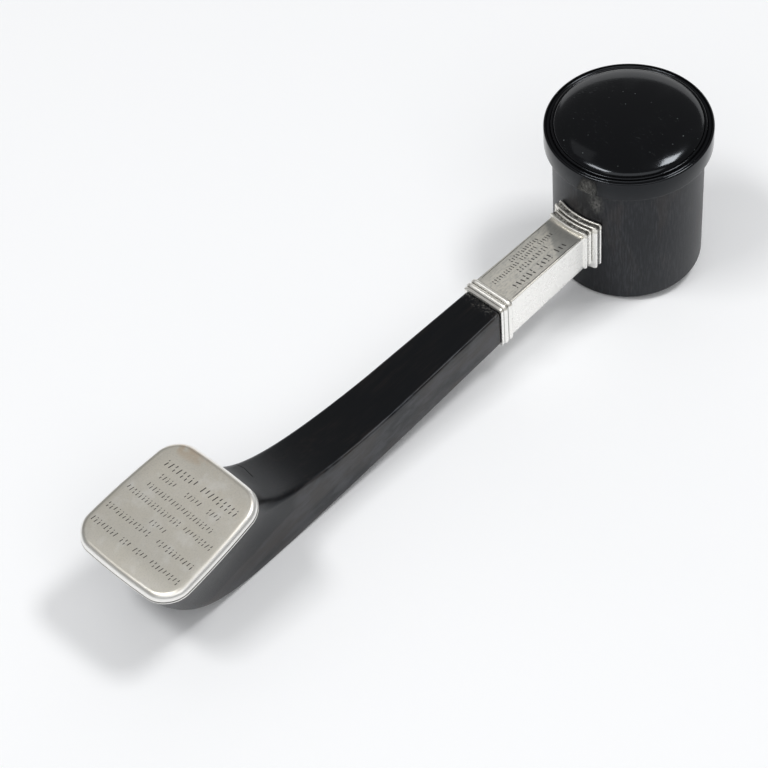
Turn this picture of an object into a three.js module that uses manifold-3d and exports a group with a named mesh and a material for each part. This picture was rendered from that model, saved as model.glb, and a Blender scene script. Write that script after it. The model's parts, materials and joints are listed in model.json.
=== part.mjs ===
// A ceremonial mallet of black turned wood with silver fittings, lying on a table.
//
// Millimetres. The mallet is drawn upright first: the axis of its head is Z, the lower rim
// of its drum is at z = 0, and the handle runs out along -X, at a distance called `out`
// from that axis. Then it is laid down as it rests, on the dome under its head and on the
// heel of its handle. The finished part's origin is the middle of the dome's resting spot.

import * as THREE from "three";
import { mergeVertices } from "three/addons/utils/BufferGeometryUtils.js";
import Module from "manifold-3d";

const wasm = await Module();
wasm.setup();

// Head: a turned drum with a dome under it, and a flange, a cove and a dome on top
const drumRadius = 25.7;
const drumHeight = 51.8;
const footEdge = 1.3;
const footRise = 2.7;
const flangeOverhang = 2.8;
const flangeHeight = 7.8;
const flangeLowEdge = 0.5;
const flangeTopEdge = 0.7;
const coveWidth = 1.7;
const coveDepth = 0.9;
const beadWidth = 0.9;
const beadHeight = 0.35;
const domeRise = 4.3;
const turningSides = 64;

// Sleeve: a square silver tube from the drum to the handle, with a moulding at each end
const sleeveLength = 48.0;
const sleeveTop = 34.6;
const sleeveDrumDepth = 15.2;
const sleeveFarDepth = 16.8;
const sleeveDrumWidth = 14.4;
const sleeveFarWidth = 15.4;
const sleeveWall = 1.2;
const sleeveEdge = 0.35;
const collarBand = 2.9;
const collarGap = 0.45;
const collarNeckProud = 0.2;
const collarCorner = 1.0;
const collarFlare = 0.25;
const drumBandProud = { top: 1.9, side: 1.8, under: 2.8 };
const stepBandProud = { top: 1.35, side: 0.35, under: 0.6 };
const beadCount = 2;
const farBeadWidth = 2.2;
const farBeadProud = 1.1;
const farValleyProud = 0.3;
const farLipWidth = 1.1;
const farLipProud = 0.6;

// Handle: square in section, with a waist, and widening to a broad upturned end
const woodTopStep = 1.2;
const woodUnderStep = 0.3;
const woodSideStep = 0.2;
const woodEdge = 0.8;
const waistRun = 46.3;
const waistTopDrop = 2.3;
const waistDepth = 15.9;
const waistWidth = 17.4;
const neckWidth = 22.0;
const topRun = 35.0;
const topArrival = 78.0;
const topReach = 22.7;
const underSlope = 1.5;
const underRun = 73.0;
const heelArrival = 66.0;
const heelReach = 43.1;
const topFlarePower = 8;
const underFlarePower = 3.4;
const cornerFlarePower = 4;
const sweepSteps = 26;

// Plate: a silver cushion with a soft edge, a fine groove and a lip, on the handle's end
const plateRun = 92.7;
const plateRise = 20.7;
const plateTilt = 8.0;
const plateLength = 45.0;
const plateNearWidth = 40.0;
const plateFarWidth = 42.8;
const plateCorner = 8.2;
const plateBow = 0.9;
const plateLip = 0.55;
const plateGroove = 0.35;
const plateGrooveDepth = 0.6;
const plateBodyInset = 0.15;
const plateEdgeRadius = 2.2;
const plateOverhang = 0.4;

// Fits
const seatGap = 0.3;
const restFlat = 0.18;

const ebony = { color: 0x2a2826, roughness: 0.42, metalness: 0.0 };
const silver = { color: 0xb9b4a6, roughness: 0.34, metalness: 1.0 };

const { degToRad, radToDeg, lerp } = THREE.MathUtils;

// Places that follow from the sizes above
const flangeRadius = drumRadius + flangeOverhang;
const flangeTop = drumHeight + flangeHeight;
const drumSeat = drumRadius + seatGap;
const sleeveEnd = drumSeat + sleeveLength;
const waistOut = sleeveEnd + waistRun;
const plateOut = waistOut + plateRun;
const plateHeight = sleeveTop + plateRise;
const footBase = drumRadius - footEdge;
const footSphere = sphereRadius(footBase, footRise);
const footCentre = footSphere - footRise;

function sphereRadius(baseRadius, rise) {
  return (baseRadius ** 2 + rise ** 2) / (2 * rise);
}

// Points on an arc, with angles in degrees; `squash` scales its height
function arc({ x, y, radius, from, to, steps, squash = 1 }) {
  return Array.from({ length: steps + 1 }, (_, i) => {
    const angle = degToRad(lerp(from, to, i / steps));
    return new THREE.Vector2(x + radius * Math.cos(angle), y + squash * radius * Math.sin(angle));
  });
}

// A rounded four-sided outline. u runs along its length and v across it. Its width can
// differ between the low and the high end of u, and its sides can bow outwards.
function roundedOutline({ length, lowWidth, highWidth, corner, bow = 0, cornerSteps, sideSteps }) {
  const arcs = [[1, 1, highWidth], [-1, 1, lowWidth], [-1, -1, lowWidth], [1, -1, highWidth]].map(
    ([u, v, width], index) => arc({
      x: u * (length / 2 - corner),
      y: v * (width / 2 - corner),
      radius: corner,
      from: 90 * index,
      to: 90 * index + 90,
      steps: cornerSteps,
    }),
  );
  const points = arcs.flatMap((corners, index) => {
    const start = corners[cornerSteps];
    const end = arcs[(index + 1) % arcs.length][0];
    const side = Array.from({ length: sideSteps }, (_, i) => start.clone().lerp(end, (i + 1) / (sideSteps + 1)));
    return [...corners, ...side];
  });
  const meanWidth = (lowWidth + highWidth) / 2;
  return points.map(({ x: u, y: v }) => new THREE.Vector2(
    u + 2 * bow * (u / length) * Math.max(0, 1 - (2 * v / meanWidth) ** 2),
    v + 2 * bow * (v / meanWidth) * Math.max(0, 1 - (2 * u / length) ** 2),
  ));
}

// One cross-section of the sleeve or the handle, between two (out, height) points
function rib({ under, top, underWidth, topWidth, corner, bow = 0, cornerSteps = 4, sideSteps = 0 }) {
  const middle = under.clone().lerp(top, 0.5);
  const axis = top.clone().sub(under).normalize();
  const outline = roundedOutline({
    length: under.distanceTo(top),
    lowWidth: underWidth,
    highWidth: topWidth,
    corner,
    bow,
    cornerSteps,
    sideSteps,
  });
  return outline.map(({ x: u, y: v }) => new THREE.Vector3(
    -(middle.x + axis.x * u),
    v,
    middle.y + axis.y * u,
  ));
}

// A closed surface over rings of points that run outwards, capped at both ends
function skin(rings) {
  const count = rings[0].length;
  const points = rings.flat();
  const faces = [];
  for (let ring = 0; ring + 1 < rings.length; ring += 1) {
    for (let i = 0; i < count; i += 1) {
      const a = ring * count + i;
      const b = ring * count + (i + 1) % count;
      faces.push([a, b + count, a + count], [a, b, b + count]);
    }
  }
  const capEnd = (ring, flipped) => {
    const centre = rings[ring].reduce((sum, point) => sum.add(point), new THREE.Vector3());
    points.push(centre.divideScalar(count));
    for (let i = 0; i < count; i += 1) {
      const a = ring * count + i;
      const b = ring * count + (i + 1) % count;
      faces.push(flipped ? [points.length - 1, b, a] : [points.length - 1, a, b]);
    }
  };
  capEnd(0, true);
  capEnd(rings.length - 1, false);
  const geometry = new THREE.BufferGeometry().setFromPoints(points);
  geometry.setIndex(faces.flat());
  return geometry;
}

function toSolid(geometry) {
  const bare = geometry.clone();
  bare.deleteAttribute("normal");
  bare.deleteAttribute("uv");
  const merged = mergeVertices(bare);
  const index = Array.from(merged.index.array);
  const corners = index.flatMap((_, i) => (i % 3 === 0 ? [index.slice(i, i + 3)] : []));
  const whole = corners.filter((corner) => new Set(corner).size === 3);
  return new wasm.Manifold(new wasm.Mesh({
    numProp: 3,
    vertProperties: new Float32Array(merged.attributes.position.array),
    triVerts: new Uint32Array(whole.flat()),
  }));
}

function toGeometry(solid) {
  const mesh = solid.getMesh();
  const geometry = new THREE.BufferGeometry();
  geometry.setAttribute("position", new THREE.BufferAttribute(mesh.vertProperties, 3));
  geometry.setIndex(new THREE.BufferAttribute(mesh.triVerts, 1));
  geometry.computeVertexNormals();
  return geometry;
}

// Head
function headSolid() {
  const coveOuter = flangeRadius - flangeTopEdge;
  const beadOuter = coveOuter - coveWidth;
  const domeOuter = beadOuter - beadWidth;
  const footAngle = radToDeg(Math.asin(footBase / footSphere));
  const profile = [
    ...arc({ x: 0, y: footCentre, radius: footSphere, from: -90, to: footAngle - 90, steps: 7 }),
    ...arc({ x: footBase, y: footEdge, radius: footEdge, from: footAngle - 90, to: 0, steps: 4 }).slice(1),
    new THREE.Vector2(drumRadius, drumHeight),
    ...arc({
      x: flangeRadius - flangeLowEdge,
      y: drumHeight + flangeLowEdge,
      radius: flangeLowEdge,
      from: -90,
      to: 0,
      steps: 2,
    }),
    ...arc({ x: coveOuter, y: flangeTop - flangeTopEdge, radius: flangeTopEdge, from: 0, to: 90, steps: 3 }),
    ...arc({
      x: coveOuter - coveWidth / 2,
      y: flangeTop,
      radius: coveWidth / 2,
      from: 0,
      to: -180,
      steps: 4,
      squash: 2 * coveDepth / coveWidth,
    }).slice(1),
    ...arc({
      x: beadOuter - beadWidth / 2,
      y: flangeTop,
      radius: beadWidth / 2,
      from: 0,
      to: 180,
      steps: 3,
      squash: 2 * beadHeight / beadWidth,
    }).slice(1),
    ...arc({
      x: 0,
      y: flangeTop,
      radius: domeOuter,
      from: 0,
      to: 90,
      steps: 11,
      squash: domeRise / domeOuter,
    }).slice(1),
  ];
  const onAxis = profile.map((point) => new THREE.Vector2(Math.max(0, point.x), point.y));
  onAxis[0].x = 0;
  onAxis[onAxis.length - 1].x = 0;
  return toSolid(new THREE.LatheGeometry(onAxis, turningSides).rotateX(Math.PI / 2));
}

// Sleeve
function drumCylinder(radius) {
  const cylinder = new THREE.CylinderGeometry(radius, radius, 2 * flangeTop, 2 * turningSides);
  return toSolid(cylinder.rotateX(Math.PI / 2));
}

function sleeveRib(out, offset) {
  const share = (out - drumSeat) / sleeveLength;
  const depth = lerp(sleeveDrumDepth, sleeveFarDepth, share);
  const width = lerp(sleeveDrumWidth, sleeveFarWidth, share) + 2 * offset;
  return rib({
    under: new THREE.Vector2(out, sleeveTop - depth - offset),
    top: new THREE.Vector2(out, sleeveTop + offset),
    underWidth: width,
    topWidth: width,
    corner: sleeveEdge + Math.max(0, offset),
  });
}

// A block around the sleeve, whose sides spread as they run out from its start
function collarBlock(start, end, { top, side, under }) {
  const ribs = [drumRadius / 2, end].map((out) => {
    const share = (out - drumSeat) / sleeveLength;
    const depth = lerp(sleeveDrumDepth, sleeveFarDepth, share);
    const spread = side + collarFlare * (out - start);
    const width = lerp(sleeveDrumWidth, sleeveFarWidth, share) + 2 * spread;
    return rib({
      under: new THREE.Vector2(out, sleeveTop - depth - under),
      top: new THREE.Vector2(out, sleeveTop + top),
      underWidth: width,
      topWidth: width,
      corner: collarCorner,
    });
  });
  return toSolid(skin(ribs));
}

function sleeveSolid() {
  const buried = drumRadius / 2;
  const lipStart = sleeveEnd - farLipWidth;
  const beadStart = lipStart - beadCount * farBeadWidth;
  const ribs = [sleeveRib(buried, 0), sleeveRib(beadStart, 0)];
  const beadSteps = 6;
  for (let i = 0; i <= beadCount * beadSteps; i += 1) {
    const swell = Math.abs(Math.sin(Math.PI * i / beadSteps));
    const out = beadStart + farBeadWidth * i / beadSteps;
    ribs.push(sleeveRib(out, lerp(farValleyProud, farBeadProud, swell)));
  }
  ribs.push(sleeveRib(lipStart, farLipProud), sleeveRib(sleeveEnd, farLipProud));

  const firstBand = drumSeat + collarBand;
  const secondBand = firstBand + collarGap;
  const collarEnd = secondBand + collarBand;
  const past = collarEnd + collarBand;
  const drumBand = collarBlock(drumSeat, past, drumBandProud).intersect(drumCylinder(firstBand));
  const stepRing = drumCylinder(collarEnd).subtract(drumCylinder(secondBand));
  const stepBand = collarBlock(secondBand, past, stepBandProud).intersect(stepRing);
  const neckBlock = toSolid(skin([sleeveRib(buried, collarNeckProud), sleeveRib(past, collarNeckProud)]));
  const neck = neckBlock.intersect(drumCylinder(secondBand + collarBand / 2));
  const bore = toSolid(skin([
    sleeveRib(buried / 2, -sleeveWall),
    sleeveRib(sleeveEnd + sleeveWall, -sleeveWall),
  ]));
  return toSolid(skin(ribs)).add(drumBand).add(stepBand).add(neck).subtract(drumCylinder(drumSeat)).subtract(bore);
}

// Plate, in its own directions: u outwards along it, v across it, and up from its seat
function onPlate(u, v, up) {
  const tilt = degToRad(plateTilt);
  return new THREE.Vector3(
    -(plateOut + u * Math.cos(tilt) + up * Math.sin(tilt)),
    v,
    plateHeight - u * Math.sin(tilt) + up * Math.cos(tilt),
  );
}

function plateRing(inset, up) {
  const outline = roundedOutline({
    length: plateLength - 2 * inset,
    lowWidth: plateNearWidth - 2 * inset,
    highWidth: plateFarWidth - 2 * inset,
    corner: plateCorner - inset,
    bow: plateBow,
    cornerSteps: 7,
    sideSteps: 5,
  });
  return outline.map(({ x: u, y: v }) => onPlate(u, -v, up));
}

function plateGeometry() {
  const bodyStart = plateLip + plateGroove;
  const edge = arc({
    x: plateEdgeRadius,
    y: 0,
    radius: plateEdgeRadius,
    from: 180,
    to: 90,
    steps: 5,
  });
  const rings = [
    plateRing(0, 0),
    plateRing(0, plateLip),
    plateRing(plateGrooveDepth, plateLip),
    plateRing(plateGrooveDepth, bodyStart),
    ...edge.map((point) => plateRing(plateBodyInset + point.x, bodyStart + point.y)),
  ];
  return skin(rings);
}

// Handle
const waistTop = new THREE.Vector2(waistOut, sleeveTop - waistTopDrop);
const waistUnder = new THREE.Vector2(waistOut, sleeveTop - waistTopDrop - waistDepth);

function mouthEnd(side) {
  const end = onPlate(side * (plateLength / 2 - plateOverhang), 0, -seatGap);
  return new THREE.Vector2(-end.x, end.z);
}

function sweep(start, startAngle, startRun, end, endAngle, endReach) {
  const leave = new THREE.Vector2(startRun, 0).rotateAround(new THREE.Vector2(), degToRad(startAngle));
  const arrive = new THREE.Vector2(endReach, 0).rotateAround(new THREE.Vector2(), degToRad(endAngle));
  return new THREE.CubicBezierCurve(start, start.clone().add(leave), end.clone().sub(arrive), end);
}

const topSweep = sweep(waistTop, 0, topRun, mouthEnd(-1), topArrival, topReach);
const underSweep = sweep(waistUnder, -underSlope, underRun, mouthEnd(1), heelArrival, heelReach);

function woodRib(options) {
  return rib({ corner: woodEdge, sideSteps: 3, ...options });
}

function tongueRib(out) {
  const points = sleeveRib(out, -sleeveWall - seatGap);
  const heights = points.map((point) => point.z);
  const halfWidth = Math.max(...points.map((point) => point.y));
  return woodRib({
    under: new THREE.Vector2(out, Math.min(...heights)),
    top: new THREE.Vector2(out, Math.max(...heights)),
    underWidth: 2 * halfWidth,
    topWidth: 2 * halfWidth,
  });
}

function handleSolid() {
  const shoulder = sleeveEnd + seatGap;
  const startWidth = sleeveFarWidth - 2 * woodSideStep;
  const ribs = [tongueRib(drumSeat), tongueRib(shoulder)];
  ribs.push(woodRib({
    under: new THREE.Vector2(shoulder, sleeveTop - sleeveFarDepth + woodUnderStep),
    top: new THREE.Vector2(shoulder, sleeveTop - woodTopStep),
    underWidth: startWidth,
    topWidth: startWidth,
  }));
  for (let i = 0; i <= sweepSteps; i += 1) {
    const share = i / sweepSteps;
    const plainWidth = lerp(waistWidth, neckWidth, share);
    ribs.push(woodRib({
      under: underSweep.getPointAt(share),
      top: topSweep.getPointAt(share),
      underWidth: plainWidth + (plateFarWidth - 2 * plateOverhang - neckWidth) * share ** underFlarePower,
      topWidth: plainWidth + (plateNearWidth - 2 * plateOverhang - neckWidth) * share ** topFlarePower,
      corner: lerp(woodEdge, plateCorner - plateOverhang, share ** cornerFlarePower),
      bow: plateBow * share ** cornerFlarePower,
    }));
  }
  return toSolid(skin(ribs));
}

// The slope at which the foot's dome and the handle's underside touch one flat table
function restingTilt() {
  const slopes = underSweep.getSpacedPoints(20 * sweepSteps).map((point) => {
    const rise = point.y - footCentre;
    return Math.atan2(rise, point.x) + Math.asin(footSphere / Math.hypot(point.x, rise));
  });
  return Math.min(...slopes);
}

const tilt = restingTilt();
const lying = new THREE.Group();
lying.rotation.y = -tilt;
lying.position.x = footCentre * Math.sin(tilt);
lying.position.z = footSphere - restFlat - footCentre * Math.cos(tilt);
lying.updateMatrix();

function tableSolid() {
  const size = 4 * plateOut;
  const block = new THREE.BoxGeometry(size, size, size).translate(0, 0, -size / 2);
  return toSolid(block.applyMatrix4(lying.matrix.clone().invert()));
}

function addPiece(name, geometry, finish) {
  const piece = new THREE.Mesh(geometry, new THREE.MeshStandardMaterial(finish));
  piece.name = name;
  lying.add(piece);
}

const table = tableSolid();
addPiece("head", toGeometry(headSolid().subtract(table)), ebony);
addPiece("handle", toGeometry(handleSolid().subtract(table)), ebony);
addPiece("ferrule", toGeometry(sleeveSolid()), silver);
addPiece("plate", plateGeometry(), silver);

const mallet = new THREE.Group();
mallet.add(lying);

export default mallet;
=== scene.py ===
"""A ceremonial mallet of black turned wood and engraved silver, lying on a pale table."""

import json
import math
import random

import bmesh
import bpy
from mathutils import Matrix, Vector


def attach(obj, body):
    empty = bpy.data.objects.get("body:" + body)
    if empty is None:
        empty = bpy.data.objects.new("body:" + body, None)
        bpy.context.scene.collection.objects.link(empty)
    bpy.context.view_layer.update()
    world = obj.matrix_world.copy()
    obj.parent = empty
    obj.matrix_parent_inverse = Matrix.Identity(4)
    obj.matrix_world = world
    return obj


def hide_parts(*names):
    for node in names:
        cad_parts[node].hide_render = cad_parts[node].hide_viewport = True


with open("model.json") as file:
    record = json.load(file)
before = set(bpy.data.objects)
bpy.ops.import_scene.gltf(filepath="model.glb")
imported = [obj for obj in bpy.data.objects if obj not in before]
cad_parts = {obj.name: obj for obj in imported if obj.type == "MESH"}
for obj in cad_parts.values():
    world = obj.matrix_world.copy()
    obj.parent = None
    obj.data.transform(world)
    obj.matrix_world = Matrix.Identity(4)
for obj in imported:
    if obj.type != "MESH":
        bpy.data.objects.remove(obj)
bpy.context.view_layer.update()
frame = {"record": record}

MM = 0.001

# Every size is in millimetres, and heights are above the lower rim of the drum

# Head
DRUM_RADIUS = 25.7
DRUM_HEIGHT = 51.8
FOOT_EDGE = 1.3
FOOT_RISE = 2.7
FLANGE_OVERHANG = 2.8
FLANGE_HEIGHT = 7.8
FLANGE_LOW_EDGE = 0.5
FLANGE_TOP_EDGE = 0.7
COVE_WIDTH = 1.7
COVE_DEPTH = 0.9
BEAD_WIDTH = 0.9
BEAD_HEIGHT = 0.35
DOME_RISE = 4.3
TURNING_SIDES = 160
DRUM_CORNER_DROP = 0.05
DRUM_CORNER_STEP = 0.15

# Ferrule
SLEEVE_LENGTH = 48.0
SLEEVE_TOP = 34.6
SLEEVE_DRUM_DEPTH = 15.2
SLEEVE_FAR_DEPTH = 16.8
SLEEVE_DRUM_WIDTH = 14.4
SLEEVE_FAR_WIDTH = 15.4
SLEEVE_WALL = 1.2
SLEEVE_EDGE = 0.35
COLLAR_BAND = 2.9
COLLAR_GAP = 0.45
COLLAR_NECK = 0.2
COLLAR_CORNER = 1.0
COLLAR_FLARE = 0.06
COLLAR_RIM = 0.80
COLLAR_DIP = 0.24
COLLAR_RIM_EDGE = 0.32
COLLAR_FOOT = 0.1
COLLAR_CURVE_END = 2.0
RAISED_CORNER_GROWTH = 1.5

# How far each band stands proud of the sleeve: on top, at the sides, under it
DRUM_BAND_PROUD = (1.9, 2.03, 2.8)
STEP_BAND_PROUD = (1.35, 0.7, 0.6)

# Beads and lip at the handle's end
BEAD_COUNT = 2
FAR_BEAD_WIDTH = 2.2
FAR_BEAD_PROUD = 1.1
FAR_VALLEY_PROUD = 0.3
FAR_LIP_WIDTH = 1.1
FAR_LIP_PROUD = 0.6
LIP_START = 0.02
LIP_RISE = 0.12
LIP_DROP = 0.1
LIP_ROUND = 0.15
BEAD_STEPS = 12
FLAT_STEPS = 6

# Handle
WOOD_TOP_STEP = 1.2
WOOD_UNDER_STEP = 0.3
WOOD_SIDE_STEP = 0.2
WOOD_EDGE = 0.8
WAIST_RUN = 46.3
WAIST_TOP_DROP = 2.3
WAIST_DEPTH = 15.9
WAIST_WIDTH = 17.4
NECK_WIDTH = 22.0
TOP_RUN = 35.0
TOP_ARRIVAL = 78.0
TOP_REACH = 22.7
UNDER_SLOPE = 1.5
UNDER_RUN = 73.0
HEEL_ARRIVAL = 66.0
HEEL_REACH = 43.1
TOP_FLARE_POWER = 8
UNDER_FLARE_POWER = 3.4
CORNER_FLARE_POWER = 4
SWEEP_STEPS = 72
SWEEP_FINENESS = 2000
STRAIGHT_STEPS = 10

# Plate
PLATE_RUN = 92.7
PLATE_RISE = 20.7
PLATE_TILT = 8.0
PLATE_LENGTH = 45.0
PLATE_NEAR_WIDTH = 40.0
PLATE_FAR_WIDTH = 42.8
PLATE_CORNER = 8.2
PLATE_BOW = 0.9
PLATE_LIP = 0.55
PLATE_GROOVE = 0.35
PLATE_GROOVE_DEPTH = 0.6
PLATE_BODY_INSET = 0.15
PLATE_EDGE_RADIUS = 2.2
PLATE_OVERHANG = 0.4
PLATE_SOFT_EDGE = 0.12

# Fits: the gap between pieces, how deep the flats are cut, and the distance for merging vertices
SEAT_GAP = 0.3
REST_FLAT = 0.18
WELD = 1e-6

# Places that follow from the sizes
FLANGE_RADIUS = DRUM_RADIUS + FLANGE_OVERHANG
FLANGE_TOP = DRUM_HEIGHT + FLANGE_HEIGHT
DRUM_SEAT = DRUM_RADIUS + SEAT_GAP
SLEEVE_END = DRUM_SEAT + SLEEVE_LENGTH
WAIST_OUT = SLEEVE_END + WAIST_RUN
PLATE_OUT = WAIST_OUT + PLATE_RUN
PLATE_HEIGHT = SLEEVE_TOP + PLATE_RISE
FOOT_BASE = DRUM_RADIUS - FOOT_EDGE
FOOT_SPHERE = (FOOT_BASE ** 2 + FOOT_RISE ** 2) / (2 * FOOT_RISE)
FOOT_CENTRE = FOOT_SPHERE - FOOT_RISE


# How the mallet lies: its lean is read from the plate's face in the record
def lying_matrix():
    """Turns the upright mallet by its lean and sets it down on the table."""
    plate_face = next(m for m in frame["record"]["mounts"] if m["name"] == "plate_face")
    lean = math.asin(-plate_face["axis"][0]) - math.radians(PLATE_TILT)
    shift = Vector((
        FOOT_CENTRE * math.sin(lean),
        0.0,
        FOOT_SPHERE - REST_FLAT - FOOT_CENTRE * math.cos(lean),
    ))
    return Matrix.Translation(shift * MM) @ Matrix.Rotation(-lean, 4, "Y")


LYING = lying_matrix()


def lerp(a, b, share):
    return a + (b - a) * share


def arc(x, y, radius, start, end, steps, squash=1.0):
    """Points on an arc, angles in degrees; squash scales its height."""
    points = []
    for i in range(steps + 1):
        angle = math.radians(lerp(start, end, i / steps))
        points.append((x + radius * math.cos(angle), y + squash * radius * math.sin(angle)))
    return points


# Modelling helpers
def start_clean():
    if bpy.context.object and bpy.context.object.mode != "OBJECT":
        bpy.ops.object.mode_set(mode="OBJECT")
    bpy.ops.object.select_all(action="DESELECT")


def only(piece):
    start_clean()
    piece.select_set(True)
    bpy.context.view_layer.objects.active = piece


def place_selected(piece, ring):
    """Moves the selected loop of vertices onto a ring of points given in metres."""
    mesh = bmesh.from_edit_mesh(piece.data)
    chosen = sorted((v for v in mesh.verts if v.select), key=lambda v: v.index)
    for vertex, point in zip(chosen, ring):
        vertex.co = point
    bmesh.update_edit_mesh(piece.data)


def draw_out(name, rings, tube=False):
    """Extrudes a loop through rings of points. A tube's last ring meets its first."""
    start_clean()
    bpy.ops.mesh.primitive_circle_add(vertices=len(rings[0]), fill_type="NOTHING" if tube else "NGON")
    piece = bpy.context.object
    piece.name = name
    bpy.ops.object.mode_set(mode="EDIT")
    bpy.ops.mesh.select_all(action="SELECT")
    place_selected(piece, rings[0])
    for ring in rings[1:]:
        if tube:
            bpy.ops.mesh.extrude_edges_move()
        else:
            bpy.ops.mesh.extrude_region_move()
        place_selected(piece, ring)
    bpy.ops.mesh.select_all(action="SELECT")
    bpy.ops.mesh.remove_doubles(threshold=WELD)
    bpy.ops.mesh.normals_make_consistent(inside=False)
    bpy.ops.object.mode_set(mode="OBJECT")
    return piece


def lay_down(piece):
    """Turns an upright piece into the way the mallet lies, in its mesh."""
    piece.data.transform(LYING)
    piece.data.update()


def rest_on_table(piece):
    """Cuts the small flat where the piece rests."""
    only(piece)
    bpy.ops.object.mode_set(mode="EDIT")
    bpy.ops.mesh.select_all(action="SELECT")
    bpy.ops.mesh.bisect(
        plane_co=(0, 0, 0), plane_no=(0, 0, 1), use_fill=True, clear_inner=True, threshold=WELD,
    )
    bpy.ops.object.mode_set(mode="OBJECT")


def finish_piece(piece, node, angle=35):
    only(piece)
    bpy.ops.object.shade_smooth_by_angle(angle=math.radians(angle))
    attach(piece, "root")
    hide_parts(node)


def cut_away(piece, cutter):
    only(piece)
    cut = piece.modifiers.new("cut", "BOOLEAN")
    cut.operation = "DIFFERENCE"
    cut.solver = "EXACT"
    cut.object = cutter
    bpy.ops.object.modifier_apply(modifier=cut.name)
    bpy.data.objects.remove(cutter)


def rounded_outline(length, low_width, high_width, corner, bow=0.0, corner_steps=4, side_steps=0):
    """A rounded four-sided outline: u along its length, v across it."""
    arcs = []
    for index, (u, v, width) in enumerate((
        (1, 1, high_width), (-1, 1, low_width), (-1, -1, low_width), (1, -1, high_width),
    )):
        start = 90 * index
        arcs.append(arc(
            u * (length / 2 - corner), v * (width / 2 - corner), corner, start, start + 90, corner_steps,
        ))
    points = []
    for index, corners in enumerate(arcs):
        points += corners
        (u0, v0), (u1, v1) = corners[-1], arcs[(index + 1) % 4][0]
        for i in range(1, side_steps + 1):
            share = i / (side_steps + 1)
            points.append((lerp(u0, u1, share), lerp(v0, v1, share)))
    mean_width = (low_width + high_width) / 2
    return [(
        u + 2 * bow * (u / length) * max(0.0, 1 - (2 * v / mean_width) ** 2),
        v + 2 * bow * (v / mean_width) * max(0.0, 1 - (2 * u / length) ** 2),
    ) for u, v in points]


def rib(under, top, under_width, top_width, corner, bow=0.0, corner_steps=4, side_steps=0):
    """One cross-section between two (out, height) points, in metres and upright."""
    under, top = Vector(under), Vector(top)
    middle = (under + top) / 2
    axis = (top - under).normalized()
    outline = rounded_outline(
        (top - under).length, under_width, top_width, corner, bow, corner_steps, side_steps,
    )
    return [Vector((-(middle.x + axis.x * u), v, middle.y + axis.y * u)) * MM for u, v in outline]


# Shader helpers
class Socket:
    """A node output that can be used in Python sums."""

    def __init__(self, paint, link):
        self.paint = paint
        self.link = link

    def _math(self, operation, first, second):
        return self.paint.node("ShaderNodeMath", {"operation": operation}, {0: first, 1: second})

    def __add__(self, other):
        return self._math("ADD", self, other)

    def __radd__(self, other):
        return self._math("ADD", other, self)

    def __sub__(self, other):
        return self._math("SUBTRACT", self, other)

    def __rsub__(self, other):
        return self._math("SUBTRACT", other, self)

    def __mul__(self, other):
        return self._math("MULTIPLY", self, other)

    def __rmul__(self, other):
        return self._math("MULTIPLY", other, self)

    def __truediv__(self, other):
        return self._math("DIVIDE", self, other)

    def __pow__(self, other):
        return self._math("POWER", self, other)

    def __abs__(self):
        return self._math("ABSOLUTE", self, 0.0)

    def least(self, other):
        return self._math("MINIMUM", self, other)

    def most(self, other):
        return self._math("MAXIMUM", self, other)

    def step(self, low, high):
        """0 below low, 1 above high, smooth between."""
        return self.paint.node(
            "ShaderNodeMapRange",
            {"interpolation_type": "SMOOTHSTEP"},
            {"Value": self, "From Min": low, "From Max": high},
        )


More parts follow.
